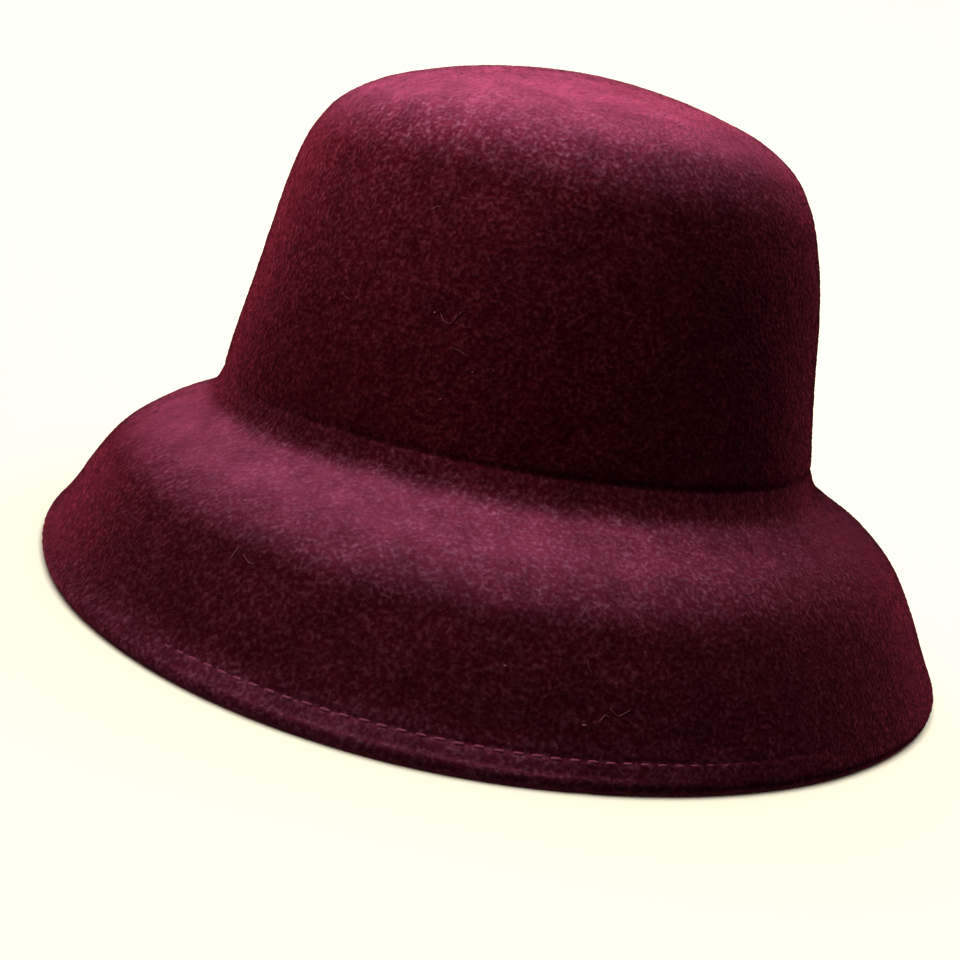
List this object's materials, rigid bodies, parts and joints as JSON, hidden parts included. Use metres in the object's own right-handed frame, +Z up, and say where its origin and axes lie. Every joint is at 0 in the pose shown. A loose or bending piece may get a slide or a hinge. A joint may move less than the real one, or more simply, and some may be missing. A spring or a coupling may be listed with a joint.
{
  "type": "bell-brimmed wool felt hat",
  "caption": "Felt hat with a rounded crown, a crease at its foot and a deep bell brim that steepens to a turned, stitched hem; worn on the head",
  "frame": {"origin": "centre of the hat's box at the level of the hem, which is the surface that the hat rests on", "axes": "+Z up; the front of the hat faces -Y; +X is the right side as seen from the front"},
  "size_m": [0.266, 0.2906, 0.1514],
  "materials": {
    "wool_felt": "matt, short-napped wool felt, dyed wine red, with a soft sheen at grazing angles"
  },
  "bodies": {
    "root": {"felt_body": "wool_felt"}
  },
  "joints": []
}
